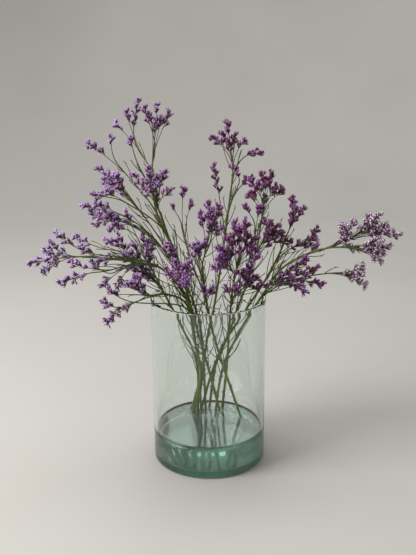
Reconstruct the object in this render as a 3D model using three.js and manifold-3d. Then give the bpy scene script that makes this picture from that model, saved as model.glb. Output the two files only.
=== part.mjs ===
import * as THREE from "three";
import { mergeVertices } from "three/addons/utils/BufferGeometryUtils.js";
import Module from "manifold-3d";

// Statice standing in a straight glass vase with a little water.
// Millimetres, +Z up. The origin is the middle of the vase's underside, and the front is -Y.

const GAP = 0.3; // kept between neighbouring pieces

// The vase and its water.
const VASE_RADIUS = 75;
const VASE_HEIGHT = 225;
const VASE_WALL = 4.4;
const VASE_FLOOR = 8;
const VASE_EDGE = 3.6; // rounding of the bottom edge
const WATER_LEVEL = 42.8;
const MENISCUS = 1.6; // how far the water climbs the wall
const MENISCUS_REACH = 2.4; // how far from the wall the climb begins
const ARC_MIDDLE = 1 - Math.SQRT1_2; // from a corner to the middle of its rounding, per radius
const LATHE_STEPS = 32;

// The stems: radius at the foot, at the tip and of the side branches.
const FOOT_RADIUS = 1.9;
const TIP_RADIUS = 1.25;
const BRANCH_RADIUS = 1.15;
const BRANCH_TIP_RADIUS = 0.95;
const STEM_SIDES = 4;
const AXIS_STEP = 33; // length of one straight stretch of a stem
const BRANCH_STEP = 22;
const HOLE_ROOM = 0.45; // the holes in the water are this much wider than the stems
const FORK_ANGLE = (27 * Math.PI) / 180;
const FORK_FLOOR = 212; // no side branch starts lower than this
const FORK_SEARCH = 0.1; // of a straight stretch
const SUNK = 3; // how far a branch's root goes into its parent
const REACH_SHARE = 1 / 3; // of a branch, for the handles of its curve

// The flower spikes: thin twigs with tufts of funnel-shaped florets.
const TWIG_RADIUS = 1.4;
const TWIG_TIP_RADIUS = 1;
const ROOT_HANDLE = 0.3; // of a spike's length: its curve's first handle, along the branch
const TIP_HANDLE = 0.7; // of a spike's length: where its second handle stands
const SAG = 0.06; // of a spike's length: how far that handle is carried on along the branch
const BARE_SHARE = 0.22; // of a spike's length, at its root
const SIDE_START = 0.06; // the side spikes leave the leading one from here on
const SIDE_PITCH = 0.08;
const SIDE_TUFT_PITCH = 14;
const TOP_TUFT = 11; // from the last side tuft to the one at the end
const KNOT = 2.6; // length of the band that a side tuft grows from
const SIDE_SPREAD = 0.85; // a side tuft's angle from the twig
const STALK_LENGTH = 4.4;
const STALK_VARIATION = 0.3;
const TUFT_BAND = 4.4;
const FLORET_LENGTH = 6;
const FLORET_RADIUS = 3.9;
const END_FLORET_RADIUS = 3;
const FLORET_SPREAD = 0.95; // a floret's angle from its twig
const SPREAD_VARIATION = 0.2;
const FLORET_VARIATION = 0.2;
const FLORET_NECK = 1.7; // radius of its lower half, for the test of clearance

// Room that a piece keeps to pieces of other nodes, beyond their radii.
const ROOM = 0.7;
const KIN_ROOM = -0.4; // to pieces of its own node, where the round shapes tested are too large
const END_GAP = 0.6; // from the flat end of a branch to the spikes that carry it on
const ROOT_ROOM = 8; // so near its root a spike may pass the branch that bears it
const TWIG_ROOM = 2.1; // radius of a twig in the test of clearance, with the tufts to come
const GUARD_STEPS = 24; // clearance is tested at this many points of a branch or twig
const GUARD_PITCH = 2; // between the guards along a stem, branch or twig
const RIM_GUARDS = 200; // round the vase's mouth, in each of three rings
const BENDS = [0, 4, 8, 12, 16]; // how far a branch or a spike's tip is bent aside to come clear
const BEND_TURNS = 8;
const STEEP = 0.8; // a line whose share of upright is above this is measured against X instead

const STEM_COLOR = 0x66733f;
const LEFT_FLORETS = new THREE.Color(0xa283bd);
const RIGHT_FLORETS = new THREE.Color(0x7a4c86);
const COLOR_SPAN = 60; // the florets' colour changes between this far left and this far right
const GLASS_MATERIAL = { color: 0xc3dbd2, roughness: 0.04, transparent: true, opacity: 0.35 };
const WATER_MATERIAL = { color: 0x9fc4b8, roughness: 0.02, transparent: true, opacity: 0.5 };
const SEED = 13;

// The bouquet, arranged by hand. A stem's axis runs from its foot through these points.
// A branch is [name, what it leaves, its end, [the tips of the flower spikes at its end]].
const STEMS = {
  stem_01: {
    axis: [
      [-18, 57, 11], [-15, 34, 111], [-23, 16, 194], [-36, 14, 263], [-64, 26, 324], [-70, 38, 365],
      [-72, 46, 388],
    ],
    branches: [
      ["a", "axis", [-69, 48, 398], [[-79, 40, 464], [-64, 58, 466], [-47, 44, 457]]],
      ["b", "axis", [-92, 64, 411], [[-90, 76, 470], [-104, 56, 457], [-119, 72, 439]]],
      ["c", "axis", [-90, 26, 399], [[-96, 16, 429]]],
      ["d", "axis", [-117, 48, 392], [[-126, 60, 426], [-152, 34, 419]]],
    ],
  },
  stem_02: {
    axis: [
      [21, 53, 11], [-1, 23, 117], [-19, 0, 195], [-34, -20, 266], [-49, -28, 313], [-58, -32, 344],
    ],
    branches: [
      ["a", "axis", [-62, -36, 353], [
        [-71, -44, 400], [-50, -32, 393], [-91, -24, 389], [-42, -50, 374], [-79, -12, 370],
      ]],
      ["b", "axis", [-100, 4, 358], [[-137, 2, 394], [-132, 22, 373], [-112, -12, 385]]],
      ["c", "axis", [-98, -44, 358], [[-138, -52, 369], [-118, -68, 377]]],
      ["d", "axis", [-110, -20, 339], [
        [-155, -28, 351], [-142, -6, 321], [-133, -42, 356], [-117, -36, 323],
      ]],
    ],
  },
  stem_03: {
    axis: [
      [-22, 61, 11], [-7, 41, 112], [-15, 17, 172], [-27, -5, 222], [-56, -28, 269], [-84, -38, 282],
      [-122, -46, 289], [-150, -50, 293],
    ],
    branches: [
      ["a", "axis", [-175, -52, 292], [
        [-220, -46, 283], [-197, -60, 302], [-187, -72, 317], [-202, -44, 272],
      ]],
      ["b", "axis", [-158, -34, 298], [[-190, -26, 317]]],
      ["c", "axis", [-121, -62, 297], [[-154, -70, 309], [-133, -60, 286]]],
      ["d", "axis", [-131, -84, 283], [[-175, -88, 270], [-163, -78, 294]]],
      ["e", "axis", [-112, -64, 277], [[-142, -62, 289], [-126, -72, 262], [-108, -56, 256]]],
    ],
  },
  stem_04: {
    axis: [
      [-10, 61, 11], [-17, 13, 129], [-36, 6, 182], [-53, 8, 217], [-72, 20, 252], [-86, 32, 277],
    ],
    branches: [
      ["a", "axis", [-92, 38, 293], [[-120, 32, 313], [-109, 50, 327]]],
      ["b", "axis", [-83, -22, 270], [[-107, -30, 288], [-94, -36, 255], [-93, -14, 297]]],
      ["c", "axis", [-78, 12, 276], [[-85, 18, 304], [-69, 2, 296]]],
      ["d", "axis", [-107, 60, 267], [[-139, 54, 288], [-123, 74, 289]]],
      ["e", "d", [-151, 78, 272], [[-185, 86, 285]]],
    ],
  },
  stem_05: {
    axis: [
      [-27, 60, 11], [-11, 8, 110], [-18, -16, 170], [-27, -38, 226], [-51, -56, 246], [-71, -64, 245],
    ],
    branches: [
      ["a", "axis", [-82, -78, 256], [[-97, -84, 268], [-84, -70, 274]]],
      ["b", "axis", [-105, -62, 232], [[-131, -66, 240], [-124, -58, 211]]],
      ["c", "axis", [-103, -42, 234], [[-126, -34, 245]]],
    ],
  },
  stem_06: {
    axis: [
      [-4, 59, 11], [-7, 53, 110], [-10, 19, 171], [-19, -49, 236],
    ],
    branches: [
      ["a", "axis", [-25, -90, 264], [
        [-39, -108, 301], [-21, -100, 299], [-51, -84, 285], [-25, -128, 287],
      ]],
      ["b", "axis", [-39, -56, 287], [[-50, -54, 309]]],
      ["c", "axis", [-3, -74, 243], [[-7, -80, 262], [5, -90, 262]]],
    ],
  },
  stem_07: {
    axis: [
      [54, 26, 11], [23, 6, 114], [6, -8, 178], [-3, -28, 233], [-7, -34, 273],
    ],
    branches: [
      ["a", "axis", [4, -54, 314], [[0, -58, 360], [14, -72, 358], [-10, -42, 343], [16, -60, 328]]],
      ["b", "axis", [-34, 34, 311], [[-47, 42, 336], [-31, 50, 357], [-20, 26, 343]]],
      ["c", "axis", [-12, -60, 288], [[-2, -64, 316], [-18, -70, 310]]],
    ],
  },
  stem_08: {
    axis: [
      [-33, 57, 11], [-11, 31, 100], [-1, 26, 161], [8, 26, 203], [18, 38, 260], [27, 54, 321],
      [34, 66, 371],
    ],
    branches: [
      ["a", "axis", [32, 70, 402], [[26, 66, 443], [50, 56, 418], [7, 84, 419]]],
      ["b", "axis", [47, 52, 397], [[71, 44, 404]]],
      ["c", "axis", [41, 44, 364], [[33, 36, 389], [56, 50, 371]]],
      ["d", "axis", [17, 86, 335], [[8, 98, 381]]],
    ],
  },
  stem_09: {
    axis: [
      [-17, 64, 11], [5, 39, 103], [24, 23, 155], [39, 4, 208], [51, 0, 244], [62, 2, 283], [68, 6, 322],
    ],
    branches: [
      ["a", "axis", [71, 8, 337], [
        [53, 0, 377], [67, -14, 387], [82, 20, 383], [98, 24, 360], [52, 24, 352],
      ]],
      ["b", "axis", [59, -18, 322], [[45, -26, 349], [64, -32, 349]]],
      ["c", "axis", [79, 32, 300], [[73, 40, 318], [92, 24, 312], [109, 32, 287]]],
    ],
  },
  stem_10: {
    axis: [
      [17, 63, 11], [25, 22, 120], [27, -8, 181], [29, -40, 233], [32, -70, 273],
    ],
    branches: [
      ["a", "axis", [37, -92, 301], [
        [30, -94, 345], [44, -104, 347], [56, -90, 324], [57, -112, 306], [21, -108, 329],
      ]],
      ["b", "axis", [21, -104, 295], [[12, -110, 320], [27, -92, 310], [9, -124, 298]]],
      ["c", "axis", [45, -82, 261], [[35, -92, 284], [51, -80, 288], [69, -70, 260]]],
      ["d", "axis", [27, -92, 250], [[21, -102, 269], [35, -106, 270]]],
    ],
  },
  stem_11: {
    axis: [
      [-3, 64, 11], [12, 46, 118], [37, 30, 174], [61, 18, 217], [79, 16, 248], [96, 34, 275],
      [105, 48, 293],
    ],
    branches: [
      ["a", "axis", [110, 54, 302], [[114, 62, 343], [127, 42, 332]]],
      ["b", "axis", [129, 60, 281], [[150, 72, 298], [146, 54, 277]]],
    ],
  },
  stem_12: {
    axis: [
      [5, 33, 11], [18, 32, 104], [39, 8, 168], [69, -16, 230], [91, -26, 267], [115, -30, 285],
      [142, -32, 295],
    ],
    branches: [
      ["a", "axis", [165, -32, 303], [[161, -40, 328], [180, -26, 328], [176, -48, 296]]],
      ["b", "axis", [191, -15, 311], [[202, -6, 332], [214, -18, 336], [238, -26, 310], [225, 4, 313]]],
      ["c", "axis", [190, -52, 300], [[222, -50, 302], [208, -62, 287], [201, -66, 315]]],
      ["d", "axis", [166, -66, 275], [[188, -60, 281], [189, -70, 259]]],
      ["e", "axis", [99, -66, 270], [
        [132, -72, 282], [135, -84, 264], [113, -94, 258], [119, -56, 288], [105, -58, 256],
      ]],
      ["f", "axis", [123, -8, 278], [[141, 0, 290]]],
    ],
  },
};

const wasm = await Module();
wasm.setup();

// A closed geometry as a solid. Triangles that shrink to nothing at a pole are left out.
function solid(geometry) {
  const bare = new THREE.BufferGeometry();
  bare.setAttribute("position", geometry.getAttribute("position"));
  if (geometry.index) bare.setIndex(geometry.index);
  const merged = mergeVertices(bare, 1e-4);
  const corners = merged.index.array;
  const kept = [];
  for (let i = 0; i < corners.length; i += 3) {
    const [a, b, c] = corners.slice(i, i + 3);
    if (a !== b && b !== c && c !== a) kept.push(a, b, c);
  }
  return new wasm.Manifold(new wasm.Mesh({
    numProp: 3,
    vertProperties: merged.getAttribute("position").array,
    triVerts: new Uint32Array(kept),
  }));
}

// A named mesh of a solid.
function meshOf(name, made, material) {
  const { vertProperties, triVerts } = made.getMesh();
  const geometry = new THREE.BufferGeometry();
  geometry.setAttribute("position", new THREE.BufferAttribute(vertProperties, 3));
  geometry.setIndex(new THREE.BufferAttribute(triVerts, 1));
  geometry.computeVertexNormals();
  const mesh = new THREE.Mesh(geometry, material);
  mesh.name = name;
  return mesh;
}

// A solid of revolution about Z from [radius, height] pairs, bottom centre first.
function turned(profile) {
  const points = profile.map(([radius, height]) => new THREE.Vector2(radius, height));
  return solid(new THREE.LatheGeometry(points, LATHE_STEPS).rotateX(Math.PI / 2));
}

const vector = (xyz) => new THREE.Vector3(...xyz);
const unit = (v) => v.clone().normalize();
const between = (from, to) => to.clone().sub(from);
const along = (from, direction, distance) => from.clone().addScaledVector(direction, distance);

// A repeatable random number from 0 to 1 for a list of whole numbers. Each draw is named by what it
// is for, so that it doesn't depend on the draws before it.
function chance(...numbers) {
  const mix = (mixed, number) => Math.imul(mixed ^ number, 0x9e3779b1) ^ (mixed >>> 15);
  const state = numbers.reduce(mix, SEED);
  let mixed = Math.imul(state ^ (state >>> 15), 1 | state);
  mixed = (mixed + Math.imul(mixed ^ (mixed >>> 7), 61 | mixed)) ^ mixed;
  return ((mixed ^ (mixed >>> 14)) >>> 0) / 2 ** 32;
}

function stepsOf(curve, stepLength) {
  return Math.max(2, Math.round(curve.getLength() / stepLength));
}

// A direction that is surely not that of the line: Z, or X if the line is steep.
function levelFor(line) {
  return Math.abs(line.z) < STEEP ? new THREE.Vector3(0, 0, 1) : new THREE.Vector3(1, 0, 0);
}

// A tapering tube with a regular section, square to the curve at its flat ends.
function tube(curve, stepLength, rootRadius, tipRadius) {
  const corners = Array.from({ length: STEM_SIDES }, (_, k) => {
    const turn = (k / STEM_SIDES) * 2 * Math.PI;
    return new THREE.Vector2(Math.cos(turn), Math.sin(turn));
  });
  const steps = stepsOf(curve, stepLength);
  const options = { steps, bevelEnabled: false, extrudePath: curve };
  const made = new THREE.ExtrudeGeometry(new THREE.Shape(corners), options);
  const spine = curve.getSpacedPoints(steps);
  const position = made.getAttribute("position");
  for (let i = 0; i < position.count; i++) {
    const corner = new THREE.Vector3().fromBufferAttribute(position, i);
    const distances = spine.map((point) => point.distanceTo(corner));
    const ring = distances.indexOf(Math.min(...distances));
    const radius = THREE.MathUtils.lerp(rootRadius, tipRadius, ring / steps);
    const moved = along(spine[ring], corner.sub(spine[ring]), radius);
    position.setXYZ(i, moved.x, moved.y, moved.z);
  }
  return solid(made);
}

// Points with a radius that other pieces keep clear of. A piece is { node, twig, tuft }: a stem has
// only its node, and a twig no tuft. What grows in a tuft also heeds the rest of its own node.
const guards = [];

function guard(piece, points, radius) {
  points.forEach((point) => guards.push({ ...piece, point, radius }));
}

function roomBetween(piece, other) {
  if (other.node !== piece.node) return ROOM;
  const own = !piece.tuft || (other.twig === piece.twig && other.tuft === piece.tuft);
  return own ? -Infinity : KIN_ROOM;
}

function isClear(piece, points, radius, ignored = () => false) {
  return guards.every((other) => {
    const reach = radius + other.radius + roomBetween(piece, other);
    return reach < 0 || ignored(other) || points.every((point) => point.distanceTo(other.point) > reach);
  });
}

// The first curve that keeps clear, bent further and further aside from the line start-end.
function bentClear(start, end, make, test) {
  const line = unit(between(start, end));
  const level = levelFor(line);
  const side = unit(level.cross(line));
  for (const bend of BENDS) {
    for (let turn = 0; turn < (bend ? BEND_TURNS : 1); turn++) {
      const aside = side.clone().applyAxisAngle(line, (turn / BEND_TURNS) * 2 * Math.PI);
      const curve = make(aside.multiplyScalar(bend));
      if (test(curve)) return curve;
    }
  }
  return null;
}

// The place on a tube's spine where a branch to `end` leaves it at the fork angle, or as near to it
// as there is, searched from the tip down.
function forkOf(spine, end) {
  let fork = null;
  for (let i = spine.length - 1; i > 0; i--) {
    const heading = unit(between(spine[i - 1], spine[i]));
    for (let share = 1; share > 0; share -= FORK_SEARCH) {
      const point = spine[i - 1].clone().lerp(spine[i], share);
      if (fork && point.z < FORK_FLOOR) return fork;
      fork = { point, heading };
      if (heading.angleTo(between(point, end)) < FORK_ANGLE) return fork;
    }
  }
  return fork;
}

// A branch: it leaves its fork along the parent and turns towards its spikes.
function branchTo(node, spine, end, tips) {
  const fork = forkOf(spine, end);
  const reach = fork.point.distanceTo(end) * REACH_SHARE;
  const aim = new THREE.Vector3();
  tips.forEach((tip) => aim.add(unit(between(end, tip))));
  const arrival = unit(aim.normalize().add(unit(between(fork.point, end))));
  const make = (aside) => new THREE.CubicBezierCurve3(
    along(fork.point, fork.heading, -SUNK),
    along(fork.point, fork.heading, reach).add(aside),
    along(end, arrival, -reach).add(aside),
    along(end, arrival, -END_GAP),
  );
  const test = (curve) => isClear({ node }, curve.getPoints(GUARD_STEPS), BRANCH_RADIUS);
  const curve = bentClear(fork.point, end, make, test);
  if (!curve) throw new Error(node + " has a branch that can't be bent clear");
  return { curve, arrival };
}

// A spike's twig from its root to its tip. It starts along the branch that bears it.
function spikeTo(node, parent, root, tip, arrival) {
  const reach = root.distanceTo(tip);
  const make = (aside) => new THREE.CubicBezierCurve3(
    root,
    along(root, arrival, ROOT_HANDLE * reach),
    along(root.clone().lerp(tip, TIP_HANDLE), arrival, SAG * reach).addScaledVector(aside, TIP_HANDLE),
    tip.clone().add(aside),
  );
  const bearer = (other) => other.node === parent && other.point.distanceTo(root) < ROOT_ROOM;
  const test = (curve) => isClear({ node }, curve.getPoints(GUARD_STEPS), TWIG_ROOM, bearer);
  return bentClear(root, tip, make, test);
}

const middleOf = (base) => base[0].clone().add(base[1]).add(base[2]).divideScalar(3);

// How the corners of a three-sided base stand round an axis through its middle.
function spokesOf(base, axis) {
  const middle = middleOf(base);
  return base.map((corner) => {
    const out = between(middle, corner);
    return out.addScaledVector(axis, -out.dot(axis)).normalize();
  });
}

// The skin between two rings of three points, the second turned by a sixth: three triangles that
// point forward, which are returned to grow on, and three between them, which are closed here.
function band(faces, ring, nextRing) {
  return [0, 1, 2].map((k) => {
    const next = (k + 1) % 3;
    faces.push([ring[next], nextRing[next], nextRing[k]]);
    return [ring[k], ring[next], nextRing[k]];
  });
}

// The direction of something that grows outwards from a forward triangle of a twig.
function slant(base, centre, heading, spread) {
  const out = middleOf(base).sub(centre);
  out.addScaledVector(heading, -out.dot(heading)).normalize();
  return unit(out.multiplyScalar(Math.sin(spread)).addScaledVector(heading, Math.cos(spread)));
}

// A floret: its base triangle drawn out and widened into a funnel. One that has no room is left out.
function addFloret(skin, piece, base, axis, length, radius) {
  const middle = middleOf(base);
  const neck = along(middle, axis, 0.5 * length);
  const mouth = along(middle, axis, length);
  if (!isClear(piece, [neck], FLORET_NECK) || !isClear(piece, [mouth], radius)) {
    skin.faces.push(base);
    return;
  }
  guard(piece, [neck], FLORET_NECK);
  guard(piece, [mouth], radius);
  const rim = spokesOf(base, axis).map((spoke) => along(mouth, spoke, radius));
  skin.faces.push(rim);
  for (let k = 0; k < 3; k++) {
    const next = (k + 1) % 3;
    skin.faces.push([base[k], base[next], rim[next]], [base[k], rim[next], rim[k]]);
  }
}

// Three florets round a band and one at its end.
function addTuft(skin, piece, ring, centre, axis) {
  const end = along(centre, axis, TUFT_BAND);
  const spokes = spokesOf(ring, axis);
  const nextRing = [0, 1, 2].map((k) => along(end, spokes[(k + 2) % 3], -TWIG_TIP_RADIUS));
  band(skin.faces, ring, nextRing).forEach((base, k) => {
    const size = 1 - FLORET_VARIATION * chance(...piece.draw, 2 * k + 2);
    const spread = FLORET_SPREAD + SPREAD_VARIATION * (chance(...piece.draw, 2 * k + 3) - 0.5);
    const lean = slant(base, centre, axis, spread);
    addFloret(skin, piece, base, lean, FLORET_LENGTH * size, FLORET_RADIUS * size);
  });
  addFloret(skin, piece, nextRing, axis, FLORET_LENGTH, END_FLORET_RADIUS);
}

// A short side stalk with a tuft, grown from a forward triangle of its twig.
function addSideTuft(skin, piece, base, axis) {
  const length = STALK_LENGTH * (1 + STALK_VARIATION * (chance(...piece.draw, 1) - 0.5));
  const centre = along(middleOf(base), axis, length);
  const spokes = spokesOf(base, axis);
  const ring = [0, 1, 2].map((k) => along(centre, spokes[(k + 2) % 3], -TWIG_TIP_RADIUS));
  const line = [centre, along(centre, axis, TUFT_BAND), along(centre, axis, TUFT_BAND + FLORET_LENGTH)];
  if (!isClear(piece, line, TWIG_RADIUS)) {
    skin.faces.push(base);
    return;
  }
  guard(piece, line.slice(0, 2), TWIG_TIP_RADIUS);
  skin.faces.push(...band(skin.faces, base, ring));
  addTuft(skin, piece, ring, centre, axis);
}

// A spike: a three-sided twig, bare below, with a tuft at its end and side tufts on the way,
// each a third of a turn on from the last. A side tuft grows from a short band.
function spike(node, order, twig, curve) {
  const skin = { faces: [] };
  const length = curve.getLength();
  const end = length - TUFT_BAND;
  const stations = [end / length];
  for (let low = end - TOP_TUFT; low > BARE_SHARE * length; low -= SIDE_TUFT_PITCH) {
    stations.unshift(low / length, (low + KNOT) / length);
  }
  if (twig === 0) stations.unshift(BARE_SHARE); // the side spikes stand here
  stations.unshift(0);
  const last = stations.length - 1;
  const centres = stations.map((t) => curve.getPoint(t));
  const line = unit(between(centres[0], centres[last]));
  const level = levelFor(line);
  const spin = chance(order, twig, 0, 0) * 2 * Math.PI;
  const headings = centres.map((_, i) =>
    unit(between(centres[Math.max(i - 1, 0)], centres[Math.min(i + 1, last)])));
  const rings = centres.map((centre, i) => {
    const side = unit(headings[i].clone().cross(level));
    const up = headings[i].clone().cross(side);
    const radius = THREE.MathUtils.lerp(TWIG_RADIUS, TWIG_TIP_RADIUS, i / last);
    return [0, 1, 2].map((k) => {
      const turn = spin + ((2 * k + i) * Math.PI) / 3;
      return along(along(centre, side, radius * Math.cos(turn)), up, radius * Math.sin(turn));
    });
  });
  skin.faces.push([rings[0][2], rings[0][1], rings[0][0]]);
  for (let i = 0; i < last; i++) {
    const forward = band(skin.faces, rings[i], rings[i + 1]);
    forward.forEach((base, k) => {
      const knot = (last - i) % 2 === 0;
      if (!knot || i === 0 || k) {
        skin.faces.push(base);
        return;
      }
      const axis = slant(base, centres[i], headings[i], SIDE_SPREAD);
      addSideTuft(skin, { node, twig, tuft: i, draw: [order, twig, last - i] }, base, axis);
    });
  }
  const top = { node, twig, tuft: last, draw: [order, twig, last] };
  addTuft(skin, top, rings[last], centres[last], headings[last]);
  const corners = skin.faces.flat().flatMap((corner) => corner.toArray());
  const geometry = new THREE.BufferGeometry();
  geometry.setAttribute("position", new THREE.Float32BufferAttribute(corners, 3));
  return solid(geometry);
}

const group = new THREE.Group();

// The vase: outer wall up to a rounded rim, then the inner wall down to a thick floor.
const inner = VASE_RADIUS - VASE_WALL;
const rim = VASE_WALL / 2; // the radius of its rounding
const vase = turned([
  [0, 0],
  [VASE_RADIUS - VASE_EDGE, 0],
  [VASE_RADIUS - ARC_MIDDLE * VASE_EDGE, ARC_MIDDLE * VASE_EDGE],
  [VASE_RADIUS, VASE_EDGE],
  [VASE_RADIUS, VASE_HEIGHT - rim],
  [VASE_RADIUS - ARC_MIDDLE * rim, VASE_HEIGHT - ARC_MIDDLE * rim],
  [VASE_RADIUS - rim, VASE_HEIGHT],
  [inner + ARC_MIDDLE * rim, VASE_HEIGHT - ARC_MIDDLE * rim],
  [inner, VASE_HEIGHT - rim],
  [inner, VASE_FLOOR + VASE_EDGE],
  [inner - ARC_MIDDLE * VASE_EDGE, VASE_FLOOR + ARC_MIDDLE * VASE_EDGE],
  [inner - VASE_EDGE, VASE_FLOOR],
  [0, VASE_FLOOR],
]);
group.add(meshOf("vase", vase, new THREE.MeshStandardMaterial(GLASS_MATERIAL)));
for (const height of [1, 3, 5].map((times) => VASE_HEIGHT - times * rim)) {
  const ring = Array.from({ length: RIM_GUARDS }, (_, k) =>
    new THREE.Vector3(VASE_RADIUS - rim, 0, height)
      .applyAxisAngle(new THREE.Vector3(0, 0, 1), (k / RIM_GUARDS) * 2 * Math.PI));
  guard({ node: "vase" }, ring, rim);
}

// The main axes stand first, then every branch keeps clear of them, then every spike.
const stems = Object.entries(STEMS).map(([name, plan]) => {
  const axis = new THREE.CatmullRomCurve3(plan.axis.map(vector), false, "catmullrom", 0.5);
  guard({ node: name }, axis.getSpacedPoints(stepsOf(axis, GUARD_PITCH)), FOOT_RADIUS);
  const spines = { axis: axis.getSpacedPoints(stepsOf(axis, AXIS_STEP)) };
  return { name, plan, axis, spines, branches: [] };
});
const heads = [];
for (const { name, plan, spines, branches } of stems) {
  for (const [letter, from, end, tips] of plan.branches) {
    const { curve, arrival } = branchTo(name, spines[from], vector(end), tips.map(vector));
    spines[letter] = curve.getSpacedPoints(stepsOf(curve, BRANCH_STEP));
    branches.push(curve);
    guard({ node: name }, curve.getSpacedPoints(stepsOf(curve, GUARD_PITCH)), BRANCH_RADIUS);
    const head = name.replace("stem", "head") + letter;
    heads.push({ name: head, stem: name, root: vector(end), tips: tips.map(vector), arrival });
  }
}
for (const head of heads) {
  head.twigs = [];
  head.tips.forEach((tip, k) => {
    const root = k ? head.twigs[0].getPoint(SIDE_START + SIDE_PITCH * k) : head.root;
    const twig = spikeTo(head.name, head.stem, root, tip, head.arrival);
    if (!twig) {
      if (!k) throw new Error(head.name + " has no room");
      return;
    }
    head.twigs.push(twig);
    guard({ node: head.name, twig: k }, twig.getSpacedPoints(stepsOf(twig, GUARD_PITCH)), TWIG_RADIUS);
  });
}

// The water, with a plain hole for each stem.
const holeFor = (axis) => {
  const points = axis.points.map((point) => point.clone());
  points[0] = along(points[0], unit(between(points[1], points[0])), HOLE_ROOM);
  const path = new THREE.CatmullRomCurve3(points, false, "catmullrom", 0.5);
  return tube(path, AXIS_STEP, FOOT_RADIUS + HOLE_ROOM, TIP_RADIUS + HOLE_ROOM);
};
const wet = inner - GAP;
const water = stems.reduce((left, { axis }) => left.subtract(holeFor(axis)), turned([
  [0, VASE_FLOOR + GAP],
  [wet - VASE_EDGE, VASE_FLOOR + GAP],
  [wet - ARC_MIDDLE * VASE_EDGE, VASE_FLOOR + GAP + ARC_MIDDLE * VASE_EDGE],
  [wet, VASE_FLOOR + GAP + VASE_EDGE],
  [wet, WATER_LEVEL + MENISCUS],
  [wet - ARC_MIDDLE * MENISCUS_REACH, WATER_LEVEL + ARC_MIDDLE * MENISCUS],
  [wet - MENISCUS_REACH, WATER_LEVEL],
  [0, WATER_LEVEL],
]));
group.add(meshOf("water", water, new THREE.MeshStandardMaterial(WATER_MATERIAL)));

// The green stems, each with its side branches grown on.
for (const { name, axis, branches } of stems) {
  const made = branches.reduce(
    (grown, branch) => grown.add(tube(branch, BRANCH_STEP, BRANCH_RADIUS, BRANCH_TIP_RADIUS)),
    tube(axis, AXIS_STEP, FOOT_RADIUS, TIP_RADIUS),
  );
  group.add(meshOf(name, made, new THREE.MeshStandardMaterial({ color: STEM_COLOR, roughness: 0.7 })));
}

// The flower heads, lighter and bluer on the left, darker on the right.
heads.forEach(({ name, twigs, root }, order) => {
  const made = twigs.map((curve, twig) => spike(name, order, twig, curve)).reduce((a, b) => a.add(b));
  const share = THREE.MathUtils.smoothstep(root.x, -COLOR_SPAN, COLOR_SPAN);
  const color = LEFT_FLORETS.clone().lerp(RIGHT_FLORETS, share);
  const material = new THREE.MeshStandardMaterial({ color, roughness: 0.8 });
  group.add(meshOf(name, made, material));
});

export default group;
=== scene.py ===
import math

import bpy
import numpy as np
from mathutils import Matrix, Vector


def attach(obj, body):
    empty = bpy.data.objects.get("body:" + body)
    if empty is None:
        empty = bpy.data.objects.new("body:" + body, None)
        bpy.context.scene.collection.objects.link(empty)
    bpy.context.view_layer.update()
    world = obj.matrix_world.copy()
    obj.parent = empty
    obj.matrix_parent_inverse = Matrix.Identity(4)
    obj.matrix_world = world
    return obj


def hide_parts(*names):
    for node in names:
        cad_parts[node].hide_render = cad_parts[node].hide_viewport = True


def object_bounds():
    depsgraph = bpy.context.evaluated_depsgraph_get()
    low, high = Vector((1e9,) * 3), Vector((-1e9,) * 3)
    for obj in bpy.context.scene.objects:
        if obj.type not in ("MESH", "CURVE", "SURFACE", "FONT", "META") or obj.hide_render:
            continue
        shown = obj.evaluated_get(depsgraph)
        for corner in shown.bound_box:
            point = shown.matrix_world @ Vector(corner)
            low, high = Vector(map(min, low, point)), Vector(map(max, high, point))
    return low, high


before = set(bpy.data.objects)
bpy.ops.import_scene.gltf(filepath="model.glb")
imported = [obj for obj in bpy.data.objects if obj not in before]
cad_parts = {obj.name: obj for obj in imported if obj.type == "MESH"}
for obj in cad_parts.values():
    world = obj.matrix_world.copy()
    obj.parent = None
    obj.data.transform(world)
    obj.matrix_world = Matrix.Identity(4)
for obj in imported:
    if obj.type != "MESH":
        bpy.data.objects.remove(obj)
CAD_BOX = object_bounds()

# The vase. A straight cylinder of recycled glass with a faint aqua tint, blown into a mould, so that
# its wall is a little uneven. Its rim is melted round, and its floor is almost twice as thick as its wall.

MM = 0.001
VASE_RADIUS = 75 * MM
VASE_HEIGHT = 225 * MM
VASE_WALL = 4.4 * MM
INNER_RADIUS = VASE_RADIUS - VASE_WALL
VASE_FLOOR = 8 * MM
VASE_EDGE = 3.6 * MM
RIM_ROUND = 1.3 * MM
VASE_COLUMNS = 144
EDGE_STEPS = 8
WALL_STEPS = 28
FLAT_RINGS = (0.3, 0.6, 0.85)
WALL_WAVES = 0.16 * MM
# The slow waves of the wall: how high, how often round, how many radians a metre up, and from where.
WALL_SWELLS = ((1.0, 3, 21, 0.0), (0.7, 5, -34, 1.3))
# A bubble shows where the middle of a cell comes near the surface. Its radius is in cells.
BUBBLE_SPACING = 13 * MM
BUBBLE_RADIUS = 0.075
GROUND_HEIGHT = 1.2 * MM
GROUND_MATT = 0.32


def closed_skin(rings, first, last):
    """The points, quads and triangles of a skin drawn through closed rings of points, which run
    counter-clockwise as seen from the end, and shut by a point before the first ring and one after
    the last."""
    rows, columns = rings.shape[:2]
    index = np.arange(rows * columns).reshape(rows, columns)
    following = np.roll(index, -1, axis=1)
    quads = np.stack([index[:-1], following[:-1], following[1:], index[1:]], axis=-1).reshape(-1, 4)
    low, high = np.full(columns, rows * columns), np.full(columns, rows * columns + 1)
    triangles = np.vstack([
        np.stack([low, following[0], index[0]], axis=-1),
        np.stack([high, index[-1], following[-1]], axis=-1),
    ])
    return np.vstack([rings.reshape(-1, 3), [first, last]]), quads, triangles


def round_steps(columns):
    """Angles that go once round, the full turn left out."""
    return np.arange(columns) * (2 * math.pi / columns)


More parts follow.
